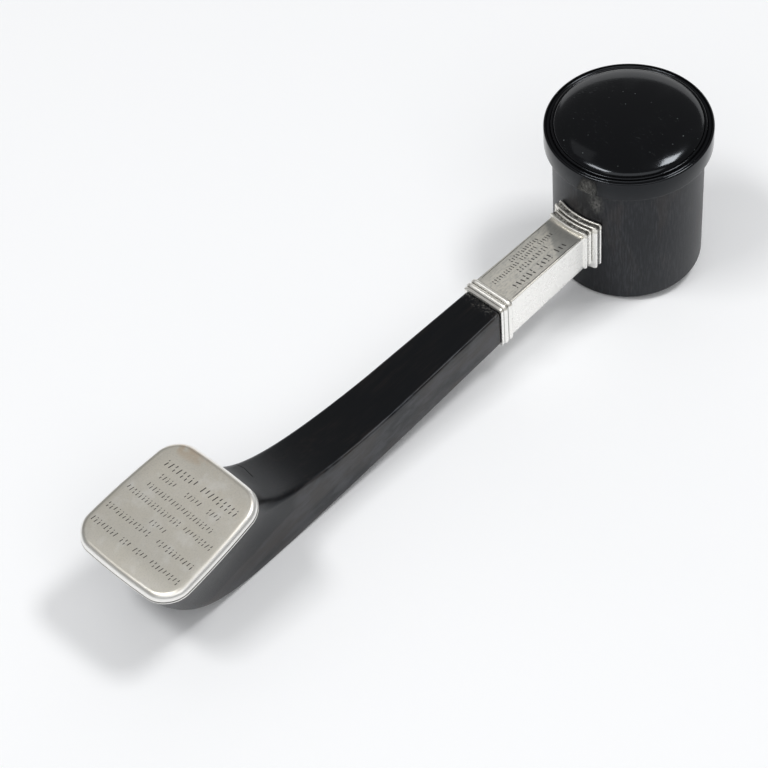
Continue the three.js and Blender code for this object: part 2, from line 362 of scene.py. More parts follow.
class Paint:
    """A material and the nodes in it."""

    def __init__(self, name, **shader):
        self.material = bpy.data.materials.new(name)
        self.material.use_nodes = True
        self.tree = self.material.node_tree
        self.shader = self.tree.nodes["Principled BSDF"]
        self.upright = None
        for socket, value in shader.items():
            self.shader.inputs[socket.replace("_", " ")].default_value = value

    def node(self, kind, settings, inputs, output=0):
        """Adds a node with its settings and what goes into it, and gives one of its outputs."""
        made = self.tree.nodes.new(kind)
        for key, value in settings.items():
            setattr(made, key, value)
        for key, value in inputs.items():
            self.feed(made.inputs[key], value)
        return Socket(self, made.outputs[output])

    def feed(self, socket, value):
        if isinstance(value, Socket):
            self.tree.links.new(value.link, socket)
        else:
            socket.default_value = value

    def set(self, name, value):
        self.feed(self.shader.inputs[name], value)

    def place(self):
        """Object coordinates turned back to the upright mallet, in millimetres."""
        if self.upright is None:
            where = self.node("ShaderNodeTexCoord", {}, {}, "Object")
            back = LYING.inverted()
            turned = self.node("ShaderNodeMapping", {}, {
                "Vector": where,
                "Location": back.translation,
                "Rotation": back.to_euler(),
            })
            self.upright = self.node(
                "ShaderNodeVectorMath", {"operation": "SCALE"}, {0: turned, "Scale": 1 / MM},
            )
        return self.upright

    def axes(self):
        split = self.node("ShaderNodeSeparateXYZ", {}, {0: self.place()})
        return [Socket(self, output) for output in split.link.node.outputs]

    def stretched(self, scale, shift):
        scaled = self.node("ShaderNodeVectorMath", {"operation": "MULTIPLY"}, {0: self.place(), 1: scale})
        return self.node("ShaderNodeVectorMath", {"operation": "ADD"}, {0: scaled, 1: (shift, shift, shift)})

    def noise(self, scale, detail=4, roughness=0.55, shift=0.0):
        """Soft noise. Its scale is in turns a millimetre, one for each axis or one for all."""
        each_axis = isinstance(scale, tuple)
        return self.node("ShaderNodeTexNoise", {}, {
            "Vector": self.stretched(scale, shift) if each_axis else self.place(),
            "Scale": 1.0 if each_axis else scale,
            "Detail": detail,
            "Roughness": roughness,
        })

    def spots(self, scale, size):
        """1 in small scattered dots, 0 elsewhere."""
        distance = self.node("ShaderNodeTexVoronoi", {}, {"Vector": self.place(), "Scale": scale}, "Distance")
        return 1 - distance.step(size * SPOT_CORE, size)

    def mix(self, share, first, second):
        made = self.tree.nodes.new("ShaderNodeMix")
        made.data_type = "RGBA"
        self.feed(made.inputs["Factor"], share)
        for name, value in (("A", first), ("B", second)):
            socket = next(s for s in made.inputs if s.name == name and s.type == "RGBA")
            self.feed(socket, value if isinstance(value, Socket) else (*value, 1.0))
        return Socket(self, next(s for s in made.outputs if s.type == "RGBA"))

    def bump(self, height, strength, distance):
        self.set("Normal", self.node("ShaderNodeBump", {}, {
            "Height": height, "Strength": strength, "Distance": distance,
        }))


def blotch(first, second, centre, reach):
    """1 at a centre on two axes, fading to 0 at its reach."""
    off_first = (first - centre[0]) / reach[0]
    off_second = (second - centre[1]) / reach[1]
    return 1 - (off_first * off_first + off_second * off_second).step(0.0, 1.0)


# Colours of the wood, and its cool sheen
EBONY_DEEP = (0.0022, 0.0022, 0.0026)
EBONY_BROWN = (0.028, 0.020, 0.016)
EBONY_GREY = (0.032, 0.032, 0.036)
# Lighter colours for the handle's sides: mottled patches, partly a painted reflection of the table
SIDE_SHEEN_AND_MOTTLE_GREY = (0.048, 0.048, 0.052)
SIDE_SHEEN_AND_MOTTLE_BROWN = (0.036, 0.028, 0.023)
# Pale residue, also used for the painted highlight line under the flange
PALE_RESIDUE_AND_HIGHLIGHT = (0.22, 0.215, 0.20)
DUST = (0.16, 0.18, 0.18)
COOL_SHEEN = (0.84, 0.91, 1.0, 1.0)

# The solid part of a dust spot, and how deep the fine relief of wood and silver is, in metres
SPOT_CORE = 0.6
FINE_RELIEF = 0.0003

# Wood of the head: sheen, how much each mark shows, and how rough each part is
HEAD_SHEEN = 0.27
POLISH_ROUGHNESS = 0.08
DOME_POLISH = 0.20
DRUM_GREY = 0.20
DRUM_GREY_STREAKS = 0.75
DRUM_BROWN = 0.45
CLEAR_STREAKS = 0.35
SMUDGE_SHOW = 0.46
CORNER_HIGHLIGHT_SHOW = 0.16
SPECK_SHOW = 0.5
SCUFF_SHOW = 0.16
SATIN_ROUGHNESS = 0.27
POLISHED_ROUGHNESS = 0.12
GRAIN_ROUGHNESS = 0.12
CLOUD_ROUGHNESS = 0.08
HAZE_ROUGHNESS = 0.09
SMUDGE_ROUGHNESS = 0.22
SPECK_ROUGHNESS = 0.2
SCUFF_ROUGHNESS = 0.08

# Relief of the head: how high each pattern stands, as shares of the fine relief
HEAD_BUMP = 0.14
DRUM_GRAIN_RELIEF = 0.7
TURNING_RELIEF = 0.5
SCUFF_RELIEF = 0.1
SOFT_RELIEF = 0.15

# How softly the drum's and the dome's finishes end, and the painted highlight line in the corner under the
# flange
DRUM_BLEND = 0.3
DOME_BLEND = 1.2
CORNER_HIGHLIGHT = 0.7
CORNER_HIGHLIGHT_BASE = 0.3

# Pale blotches above the ferrule: place across, height, reach
SMUDGES = ((-6.0, 54.6, 3.6), (-6.4, 46.4, 3.6), (-7.0, 43.2, 3.0))
SMUDGE_TALLNESS = 1.3
SMUDGED_SIDE = (-22.0, -18.0)


def ebony_head():
    """Polished on the dome and flange, satin on the drum, with fine upright grain."""
    paint = Paint(
        "ebony_head",
        Specular_IOR_Level=HEAD_SHEEN,
        Specular_Tint=COOL_SHEEN,
        Coat_Roughness=POLISH_ROUGHNESS,
    )
    x, y, z = paint.axes()
    grain = paint.noise(scale=(1.9, 1.9, 0.22), detail=6)
    broad = paint.noise(scale=(0.11, 0.11, 0.04), shift=7.0)
    drum = 1 - z.step(DRUM_HEIGHT - DRUM_BLEND, DRUM_HEIGHT + DRUM_BLEND)
    dome = z.step(FLANGE_TOP - DOME_BLEND, FLANGE_TOP)

    clearer = CLEAR_STREAKS + (1 - CLEAR_STREAKS) * broad.step(0.38, 0.66)
    streak = grain.step(0.42, 0.66) * clearer
    colour = paint.mix((DRUM_GREY + DRUM_GREY_STREAKS * streak) * drum, EBONY_DEEP, EBONY_GREY)
    colour = paint.mix(broad.step(0.52, 0.70) * drum * DRUM_BROWN, colour, EBONY_BROWN)

    by_ferrule = 1 - x.step(*SMUDGED_SIDE)
    smudge = 0.0
    for across, height, reach in SMUDGES:
        spot = blotch(y, z, (across, height), (reach, SMUDGE_TALLNESS * reach))
        smudge = spot * by_ferrule + smudge
    broken = paint.noise(scale=(1.0, 1.0, 0.55), detail=7, roughness=0.65, shift=3.0)
    smudge = smudge * broken.step(0.34, 0.70)
    colour = paint.mix(smudge * SMUDGE_SHOW, colour, PALE_RESIDUE_AND_HIGHLIGHT)
    # Painted highlight: a pale line in the corner under the flange, standing in for light on the flange's
    # lower edge
    in_corner = z.step(DRUM_HEIGHT - CORNER_HIGHLIGHT, DRUM_HEIGHT - DRUM_BLEND) * drum
    corner_highlight = in_corner * (CORNER_HIGHLIGHT_BASE + broad.step(0.4, 0.6))
    colour = paint.mix(corner_highlight * CORNER_HIGHLIGHT_SHOW, colour, PALE_RESIDUE_AND_HIGHLIGHT)

    dusty = paint.noise(scale=(0.05, 0.05, 0.05), detail=3, shift=13.0).step(0.42, 0.54)
    specks = paint.spots(scale=0.30, size=0.085) * dusty * dome
    colour = paint.mix(specks * SPECK_SHOW, colour, DUST)
    scuff = paint.noise(scale=(1.3, 0.5, 1.0), detail=5, roughness=0.7, shift=21.0)
    patches = paint.noise(scale=(0.07, 0.07, 0.07), detail=2, shift=17.0)
    scuffed = scuff.step(0.58, 0.74) * patches.step(0.50, 0.62) * dome
    colour = paint.mix(scuffed * SCUFF_SHOW, colour, DUST)
    paint.set("Base Color", colour)

    haze = paint.noise(scale=0.08, detail=5)
    satin = SATIN_ROUGHNESS + GRAIN_ROUGHNESS * grain + CLOUD_ROUGHNESS * broad
    polished = POLISHED_ROUGHNESS + HAZE_ROUGHNESS * haze.step(0.42, 0.75)
    marked = SMUDGE_ROUGHNESS * smudge + SPECK_ROUGHNESS * specks + SCUFF_ROUGHNESS * scuffed
    paint.set("Roughness", drum * satin + (1 - drum) * polished + marked)
    paint.set("Coat Weight", DOME_POLISH * dome)
    turned = paint.noise(scale=(0.05, 0.05, 5.0), detail=3, shift=31.0)
    relief = drum * (DRUM_GRAIN_RELIEF * grain + TURNING_RELIEF * turned)
    relief = relief + SCUFF_RELIEF * scuff * dome + SOFT_RELIEF * paint.noise(scale=1.2)
    paint.bump(relief, HEAD_BUMP, FINE_RELIEF)
    return paint.material


# Wood of the handle: sheen, how much each mark shows, and how rough it is
HANDLE_SHEEN = 0.30
STREAKS_ON_TOP = 0.35
STREAKS_MORE_ON_SIDE = 0.55
# Shares of the lighter patches on the sides, partly a painted reflection of the table
SIDE_BROWN = 0.6
SIDE_GREY = 0.9
RESIDUE_SHOW = 0.55
HANDLE_ROUGHNESS = 0.27
HANDLE_GRAIN_ROUGHNESS = 0.10
RUBBED_ROUGHNESS = 0.10
RESIDUE_ROUGHNESS = 0.2

# Relief of the handle
HANDLE_BUMP = 0.16
HANDLE_GRAIN_RELIEF = 0.6
PORE_RELIEF = 0.4
RUBBED_RELIEF = 0.5

# The sides, painted lighter to stand in for their reflection of the table, start just inside the handle's
# edge, or this far below the ferrule's top
SIDE_EDGE = (-1.1, -0.5)
BELOW_TOP = (-5.0, -3.5)
RESIDUE_REACH = (-4.5, -0.5)


def half_width(x):
    """Half the width of the handle's top, from the ferrule to the plate."""
    straight = (-1 * (x + SLEEVE_END) / WAIST_RUN).most(0.0).least(1.0)
    flare = (-1 * (x + WAIST_OUT) / (PLATE_OUT - PLATE_LENGTH / 2 - WAIST_OUT)).most(0.0).least(1.0)
    half = SLEEVE_FAR_WIDTH / 2 + straight * (WAIST_WIDTH - SLEEVE_FAR_WIDTH) / 2
    half = half + flare * (NECK_WIDTH - WAIST_WIDTH) / 2
    return half + flare ** TOP_FLARE_POWER * (PLATE_NEAR_WIDTH - NECK_WIDTH) / 2


def ebony_handle():
    """Satin black wood with grain along the handle; its sides are painted lighter with grey and brown mottled
    patches, partly a painted reflection of the pale table.
    """
    paint = Paint("ebony_handle", Specular_IOR_Level=HANDLE_SHEEN, Specular_Tint=COOL_SHEEN)
    x, y, z = paint.axes()
    grain = paint.noise(scale=(0.07, 2.2, 2.2), detail=7)
    pores = paint.noise(scale=(0.35, 7.0, 7.0), shift=5.0)
    broad = paint.noise(scale=(0.030, 0.12, 0.12), shift=9.0)
    mottle = paint.noise(scale=(0.10, 0.24, 0.24), detail=7, roughness=0.62, shift=15.0)
    below_top = 1 - z.step(SLEEVE_TOP + BELOW_TOP[0], SLEEVE_TOP + BELOW_TOP[1])
    on_side = (abs(y) - half_width(x)).step(*SIDE_EDGE).most(below_top)

    streak = grain.step(0.46, 0.68) * broad.step(0.36, 0.62)
    colour = paint.mix(streak * (STREAKS_ON_TOP + STREAKS_MORE_ON_SIDE * on_side), EBONY_DEEP, EBONY_BROWN)
    # Painted reflection: lighter brown and grey mottled patches on the sides stand in for their sheen of the
    # pale table
    colour = paint.mix(on_side * broad.step(0.42, 0.60) * SIDE_BROWN, colour, SIDE_SHEEN_AND_MOTTLE_BROWN)
    colour = paint.mix(on_side * mottle.step(0.40, 0.66) * SIDE_GREY, colour, SIDE_SHEEN_AND_MOTTLE_GREY)
    by_ferrule = x.step(-SLEEVE_END + RESIDUE_REACH[0], -SLEEVE_END + RESIDUE_REACH[1])
    residue = by_ferrule * paint.noise(scale=(1.6, 1.6, 1.6), detail=7, shift=2.0).step(0.53, 0.66)
    colour = paint.mix(residue * RESIDUE_SHOW, colour, PALE_RESIDUE_AND_HIGHLIGHT)
    paint.set("Base Color", colour)

    roughness = HANDLE_ROUGHNESS + HANDLE_GRAIN_ROUGHNESS * grain
    roughness = roughness + RUBBED_ROUGHNESS * on_side * mottle.step(0.35, 0.75)
    paint.set("Roughness", roughness + RESIDUE_ROUGHNESS * residue)
    relief = HANDLE_GRAIN_RELIEF * grain + PORE_RELIEF * pores + RUBBED_RELIEF * on_side * mottle
    paint.bump(relief, HANDLE_BUMP, FINE_RELIEF)
    return paint.material


# Colours of the silver
SILVER = (0.95, 0.94, 0.91)
WARM_TARNISH = (0.70, 0.655, 0.55)
GREY_TARNISH = (0.66, 0.67, 0.65)
GREY_SHADE = (0.30, 0.31, 0.30)
PLATE_TARNISH = (0.70, 0.655, 0.56)
DARK_TARNISH = (0.085, 0.08, 0.072)
GROOVE_GREY = (0.07, 0.067, 0.06)
GROOVE_BLACK = (0.015, 0.015, 0.014)
STAIN = (0.60, 0.44, 0.28)

# Brown stain by the plate's far corner on its head side
STAIN_PLACE = (-192.8, 12.0)
STAIN_REACH = (4.2, 11.0)
STAIN_SHOW = 0.50

# Silver of the plate: how much each mark shows, where its outer end darkens, the painted highlight on its
# rounded edge, and how rough it is
PLATE_METAL = 0.85
TARNISH_SHARE = 0.85
TARNISH_CHANGE = 0.5
MOTTLE_SHOW = 0.22
WORN_SHOW = 0.35
OUTER_END = (-230.0, -192.0)
OUTER_END_SHADE = 0.20
# Painted highlight on the plate's rounded edge, and the band where it lies
EDGE_HIGHLIGHT = 0.9
EDGE_HIGHLIGHT_BAND = (2.5, 3.08)
# The groove under the plate's edge is darkened: tarnish and painted shade
PLATE_GROOVE_BAND = (0.45, 1.0)
GROOVE_SOFTNESS = (0.15, 0.14)
PLATE_GROOVE_TARNISH_AND_SHADE = 0.85
PLATE_ROUGHNESS = 0.26
PLATE_CHANGE = 0.10
PLATE_BUMP = 0.10
SCRATCH_RELIEF = 0.4
PLATE_RELIEF = 0.0002


def silver_plate():
    """Warm silver, evenly rubbed, with a faint stain, fine scratches and a painted highlight on its rounded
    edge.
    """
    paint = Paint("silver_plate", Metallic=PLATE_METAL)
    x, y, z = paint.axes()
    cloud = paint.noise(scale=0.07, detail=5)
    mottle = paint.noise(scale=2.4, detail=5, roughness=0.65)
    scratch = paint.noise(scale=(5.0, 0.30, 1.0), shift=5.0)
    colour = paint.mix(TARNISH_SHARE + TARNISH_CHANGE * (cloud - 0.5), SILVER, PLATE_TARNISH)
    colour = paint.mix(mottle.step(0.42, 0.72) * MOTTLE_SHOW, colour, GREY_SHADE)
    worn = paint.noise(scale=(0.16, 0.16, 0.16), detail=6, roughness=0.6, shift=12.0)
    colour = paint.mix(worn.step(0.50, 0.72) * WORN_SHOW, colour, SILVER)
    outer_end = 1 - x.step(*OUTER_END)
    colour = paint.mix(outer_end * OUTER_END_SHADE, colour, GREY_SHADE)
    stain = blotch(x, y, STAIN_PLACE, STAIN_REACH)
    stain = stain * paint.noise(scale=(0.30, 0.30, 0.30), detail=5, shift=8.0).step(0.36, 0.60)
    colour = paint.mix(stain * STAIN_SHOW, colour, STAIN)

    tilt = math.radians(PLATE_TILT)
    up = (z - PLATE_HEIGHT) * math.cos(tilt) - (x + PLATE_OUT) * math.sin(tilt)
    low, high = PLATE_GROOVE_BAND
    in_groove = up.step(low, low + GROOVE_SOFTNESS[0]) * (1 - up.step(high - GROOVE_SOFTNESS[1], high))
    # Painted highlight: the rounded edge is painted bright silver, standing in for its reflection of the
    # lights
    colour = paint.mix(EDGE_HIGHLIGHT * (1 - up.step(*EDGE_HIGHLIGHT_BAND)), colour, SILVER)
    # Tarnish and painted shade darken the groove under the plate's edge
    colour = paint.mix(in_groove * PLATE_GROOVE_TARNISH_AND_SHADE, colour, DARK_TARNISH)
    paint.set("Base Color", colour)
    paint.set("Roughness", PLATE_ROUGHNESS + PLATE_CHANGE * cloud + PLATE_CHANGE * mottle)
    paint.bump(SCRATCH_RELIEF * mottle + SCRATCH_RELIEF * scratch, PLATE_BUMP, PLATE_RELIEF)
    return paint.material


# Silver of the ferrule: where its top and its raised parts start, from the sleeve's top
TOP_BAND = (-0.6, -0.1)
RAISED_BAND = (0.12, 0.40)

# How much each mark shows on the ferrule
SIDE_TARNISH = 0.14
TOP_TARNISH = 0.35
TOP_TARNISH_CHANGE = 0.50
RAISED_RUBBED = 0.55
RUBBED_SHADE = 0.45
FAR_SIDE_BAND = (2.5, 7.5)
FAR_SIDE_SHADE = 0.32

# Dark patch on the ferrule's top by the collar: its slanted start, its end, its slope and its waviness
DARK_START = (-39.2, -37.4)
DARK_END = (-33.5, -32.5)
DARK_SLOPE = 0.67
DARK_WAVE = 2.6
DARK_PATCH_SHADE = 0.60

# Tarnish left in the collar's troughs, in the seam between its bands and in the beads' valleys
TROUGH_EDGE = (0.78, 0.95)
PIT_BAND = (0.37, 0.54)
PIT_SHOW = 0.92
SEAM_SHOW = 0.9
SEAM_BAND = (0.02, 0.57)
SEAM_SOFTNESS = (0.10, 0.12)
VALLEY_BAND = (0.10, 0.30)
VALLEY_SHOW = 0.8

# How rough the ferrule is, and how high each pattern stands
TOP_LESS_METAL = 0.25
FERRULE_ROUGHNESS = 0.20
TOP_ROUGHNESS = 0.16
FERRULE_CLOUD_ROUGHNESS = 0.08
FERRULE_MOTTLE_ROUGHNESS = 0.06
PIT_ROUGHNESS = 0.3
FERRULE_BUMP = 0.16
STREAK_RELIEF = 0.04
MOTTLE_RELIEF = 0.03
FLAT_RELIEF = 0.35
PIT_RELIEF = 0.7


def silver_ferrule():
    """Silver, tan with tarnish on top, and dark in the mouldings' troughs and valleys."""
    paint = Paint("silver_ferrule")
    x, y, z = paint.axes()
    on_top = z.step(SLEEVE_TOP + TOP_BAND[0], SLEEVE_TOP + TOP_BAND[1])
    raised = z.step(SLEEVE_TOP + RAISED_BAND[0], SLEEVE_TOP + RAISED_BAND[1])
    on_flat = on_top * (1 - raised)
    cloud = paint.noise(scale=(0.09, 0.16, 0.16))
    mottle = paint.noise(scale=0.6, detail=5)
    streaks = paint.noise(scale=(0.35, 4.5, 4.5), shift=3.0)
    rubbed = paint.noise(scale=(0.5, 1.3, 1.3), detail=6, roughness=0.7, shift=6.0)
    pits = paint.noise(scale=0.65, detail=5, roughness=0.7)

    colour = paint.mix(SIDE_TARNISH * mottle.step(0.45, 0.7), SILVER, GREY_TARNISH)
    tarnished = on_top * (1 - RAISED_RUBBED * raised) * (TOP_TARNISH + TOP_TARNISH_CHANGE * cloud)
    colour = paint.mix(tarnished, colour, WARM_TARNISH)
    colour = paint.mix(on_flat * rubbed.step(0.44, 0.66) * RUBBED_SHADE, colour, GREY_SHADE)
    far_side = y.step(*FAR_SIDE_BAND) * (0.5 + cloud)
    colour = paint.mix(on_flat * far_side * FAR_SIDE_SHADE, colour, GREY_SHADE)
    slant = x - DARK_SLOPE * y + DARK_WAVE * cloud
    by_collar = on_flat * slant.step(*DARK_START) * (1 - x.step(*DARK_END))
    colour = paint.mix(by_collar * DARK_PATCH_SHADE, colour, GREY_SHADE)

    reach = (x * x + y * y) ** 0.5
    near_rim, far_rim = TROUGH_EDGE
    in_trough = 0.0
    for start in (DRUM_SEAT, DRUM_SEAT + COLLAR_BAND + COLLAR_GAP):
        end = start + COLLAR_BAND
        inner = reach.step(start + near_rim, start + far_rim)
        in_trough = inner * (1 - reach.step(end - far_rim, end - near_rim)) + in_trough
    seam_start = DRUM_SEAT + COLLAR_BAND + SEAM_BAND[0]
    seam_end = DRUM_SEAT + COLLAR_BAND + SEAM_BAND[1]
    seam = reach.step(seam_start, seam_start + SEAM_SOFTNESS[0])
    seam = seam * (1 - reach.step(seam_end - SEAM_SOFTNESS[1], seam_end))
    for i in range(BEAD_COUNT + 1):
        valley = SLEEVE_END - FAR_LIP_WIDTH - FAR_BEAD_WIDTH * i
        seam = seam.most(VALLEY_SHOW * (1 - abs(x + valley).step(*VALLEY_BAND)))
    pitted = in_trough * pits.step(*PIT_BAND) * on_top
    colour = paint.mix((pitted * PIT_SHOW).most(seam * SEAM_SHOW), colour, DARK_TARNISH)
    paint.set("Base Color", colour)

    paint.set("Metallic", 1 - TOP_LESS_METAL * on_flat)
    roughness = FERRULE_ROUGHNESS + TOP_ROUGHNESS * on_top + FERRULE_CLOUD_ROUGHNESS * cloud
    paint.set("Roughness", roughness + FERRULE_MOTTLE_ROUGHNESS * mottle + PIT_ROUGHNESS * pitted)
    relief = STREAK_RELIEF * streaks + MOTTLE_RELIEF * mottle + FLAT_RELIEF * on_flat * rubbed
    relief = (1 - raised) * relief + PIT_RELIEF * on_top * pits * in_trough
    paint.bump(relief, FERRULE_BUMP, FINE_RELIEF)
    return paint.material


# The grooves: how much metal shows in them, and how rough they are
GROOVE_METAL = 0.3
GROOVE_ROUGHNESS = 0.45
GROOVE_CHANGE = 0.2


def groove_paint(name):
    """The blackened silver left in the graver's cuts."""
    paint = Paint(name + "_groove", Metallic=GROOVE_METAL)
    rubbed = paint.noise(scale=1.4)
    paint.set("Base Color", paint.mix(rubbed.step(0.35, 0.7), GROOVE_BLACK, GROOVE_GREY))
    paint.set("Roughness", GROOVE_ROUGHNESS + GROOVE_CHANGE * rubbed)
    return paint.material


# The pale table, with a faint painted glow that lightens it and its shadows
TABLE_LIGHT = (0.938, 0.943, 0.952)
TABLE_SHADE = (0.932, 0.938, 0.949)
# Painted glow: the table emits a little light, lightening it and its shadows
TABLE_PAINTED_GLOW = 0.04
TABLE_PAINTED_GLOW_COLOUR = (0.96, 0.98, 1.0, 1.0)
TABLE_ROUGHNESS = 0.9


def table_paint():
    paint = Paint(
        "table", Roughness=TABLE_ROUGHNESS, Specular_IOR_Level=0.0, Emission_Strength=TABLE_PAINTED_GLOW,
    )
    # Painted glow that lightens the table and its shadows
    paint.set("Emission Color", TABLE_PAINTED_GLOW_COLOUR)
    mottle = paint.noise(scale=0.02, detail=3)
    paint.set("Base Color", paint.mix(mottle, TABLE_LIGHT, TABLE_SHADE))
    return paint.material


# Head
def head_profile():
    """(radius, height) points of the turned head, from under its foot to the top of its dome."""
    flange_edge = FLANGE_RADIUS - FLANGE_LOW_EDGE
    cove_half = COVE_WIDTH / 2
    bead_half = BEAD_WIDTH / 2
    cove_outer = FLANGE_RADIUS - FLANGE_TOP_EDGE
    bead_outer = cove_outer - COVE_WIDTH
    dome_outer = bead_outer - BEAD_WIDTH
    foot_angle = math.degrees(math.asin(FOOT_BASE / FOOT_SPHERE))
    return [
        *arc(0, FOOT_CENTRE, FOOT_SPHERE, -90, foot_angle - 90, steps=12)[1:],
        *arc(FOOT_BASE, FOOT_EDGE, FOOT_EDGE, foot_angle - 90, 0, steps=8)[1:],
        (DRUM_RADIUS, DRUM_HEIGHT / 2),
        (DRUM_RADIUS, DRUM_HEIGHT - DRUM_CORNER_DROP),
        (DRUM_RADIUS + DRUM_CORNER_STEP, DRUM_HEIGHT),
        *arc(flange_edge, DRUM_HEIGHT + FLANGE_LOW_EDGE, FLANGE_LOW_EDGE, -90, 0, steps=5),
        *arc(cove_outer, FLANGE_TOP - FLANGE_TOP_EDGE, FLANGE_TOP_EDGE, 0, 90, steps=6),
        *arc(
            cove_outer - cove_half, FLANGE_TOP, cove_half, 0, -180, steps=10, squash=COVE_DEPTH / cove_half,
        )[1:],
        *arc(
            bead_outer - bead_half, FLANGE_TOP, bead_half, 0, 180, steps=8, squash=BEAD_HEIGHT / bead_half,
        )[1:],
        *arc(0, FLANGE_TOP, dome_outer, 0, 90, steps=36, squash=DOME_RISE / dome_outer)[1:-1],
    ]


def turn_head():
    """Turned from a disc: each step is an extrusion, a scaling and a lift."""
    profile = head_profile()
    start_clean()
    radius, height = profile[0]
    bpy.ops.mesh.primitive_circle_add(
        vertices=TURNING_SIDES, radius=radius * MM, fill_type="NGON", location=(0, 0, height * MM),
    )
    head = bpy.context.object
    head.name = "head_turned"
    bpy.ops.object.transform_apply(location=True, rotation=True, scale=True)
    bpy.ops.object.mode_set(mode="EDIT")
    bpy.ops.mesh.select_all(action="SELECT")
    for next_radius, next_height in profile[1:]:
        bpy.ops.mesh.extrude_region_move()
        scale = next_radius / radius
        bpy.ops.transform.resize(value=(scale, scale, 1), center_override=(0, 0, 0))
        bpy.ops.transform.translate(value=(0, 0, (next_height - height) * MM))
        radius, height = next_radius, next_height
    bpy.ops.mesh.select_all(action="SELECT")
    bpy.ops.mesh.normals_make_consistent(inside=False)
    bpy.ops.object.mode_set(mode="OBJECT")
    lay_down(head)
    rest_on_table(head)
    head.data.materials.append(ebony_head())
    finish_piece(head, "head", angle=40)


# Engraved strokes: short graver cuts in rows, wide by a share of their row's height
STROKE_DEPTH = 0.22
PLATE_STROKE_SHARE = 0.23
FERRULE_STROKE_SHARE = 0.34
BORDER_WIDTH = 0.30
STROKE_PITCH = 0.66
STROKE_WOBBLE = 3
PLATE_SEED = 5
FERRULE_SEED = 11
KEEL_LENGTH = 0.85
KEEL_WIDTH = 0.10

# One cell's cuts: along, across, lean in degrees, length, all as shares of the row's height
STROKE_CELLS = (
    ((0.00, 0.00, 14, 0.92),),
    ((0.00, 0.30, 14, 0.42), (0.00, -0.30, 14, 0.42)),
    ((0.00, 0.16, 14, 0.64), (0.00, -0.40, 14, 0.16)),
    ((0.00, -0.10, 14, 0.72),),
)

# Rows on the plate: distance from its middle, both ends, height, blank shares
PLATE_ROWS = (
    (-13.3, 14.8, -16.4, 2.6, ((0.43, 0.49),)),
    (-8.9, 12.7, -13.2, 2.0, ((0.27, 0.40), (0.68, 0.77))),
    (-4.4, 13.9, -14.4, 2.0, ()),
    (-0.1, 18.4, -18.4, 2.0, ((0.62, 0.67),)),
    (4.3, 3.9, -3.0, 1.8, ()),
    (8.0, 18.9, -18.5, 2.1, ((0.51, 0.56),)),
    (14.2, 19.3, -18.7, 2.1, ((0.28, 0.32), (0.45, 0.49), (0.62, 0.66))),
)

# Rows on the ferrule: distance from its middle line, both ends, height, blank shares
FERRULE_ROWS = (
    (4.5, 41.8, 55.6, 1.7, ()),
    (2.3, 36.9, 66.4, 1.7, ((0.24, 0.28), (0.52, 0.56))),
    (-0.4, 42.4, 57.2, 1.9, ()),
    (-4.1, 37.5, 63.3, 2.5, ((0.20, 0.27), (0.37, 0.42), (0.52, 0.60))),
)

# Long lines along the ferrule's top: distance from its middle line, both ends
FERRULE_BORDERS = ((6.75, 33.2, 68.2), (-6.75, 33.2, 68.2))


# A surface turns a place across and along it, and a height over it, into a point
def on_plate_face(across, along, up):
    return on_plate(across, along, PLATE_LIP + PLATE_GROOVE + PLATE_EDGE_RADIUS + up)


def on_sleeve(across, along, up):
    return Vector((-along, across, SLEEVE_TOP + up)) * MM


def model_stroke():
    """A cutter one millimetre long and wide: a block drawn in to a keel below."""
    start_clean()
    bpy.ops.mesh.primitive_cube_add(size=1)
    stroke = bpy.context.object
    bpy.ops.object.mode_set(mode="EDIT")
    mesh = bmesh.from_edit_mesh(stroke.data)
    for face in mesh.faces:
        face.select_set(face.normal.z < -0.5)
    bmesh.update_edit_mesh(stroke.data)
    bpy.ops.transform.resize(value=(KEEL_LENGTH, KEEL_WIDTH, 1), center_override=(0, 0, 0))
    bpy.ops.object.mode_set(mode="OBJECT")
    return stroke


def set_stroke(stroke, surface, across, along, lean, length, width, depth=STROKE_DEPTH):
    """Copies the cutter to one place on a surface, turned by its lean."""
    turn = math.radians(lean)
    where = surface(across, along, 0)
    long_way = (surface(across + math.cos(turn), along + math.sin(turn), 0) - where) * length
    wide_way = (surface(across - math.sin(turn), along + math.cos(turn), 0) - where) * width
    deep_way = (surface(across, along, 1) - where) * (2 * depth)
    copy = stroke.copy()
    copy.data = stroke.data.copy()
    copy.data.transform(Matrix((
        (long_way.x, wide_way.x, deep_way.x, where.x),
        (long_way.y, wide_way.y, deep_way.y, where.y),
        (long_way.z, wide_way.z, deep_way.z, where.z),
        (0, 0, 0, 1),
    )))
    bpy.context.collection.objects.link(copy)
    return copy


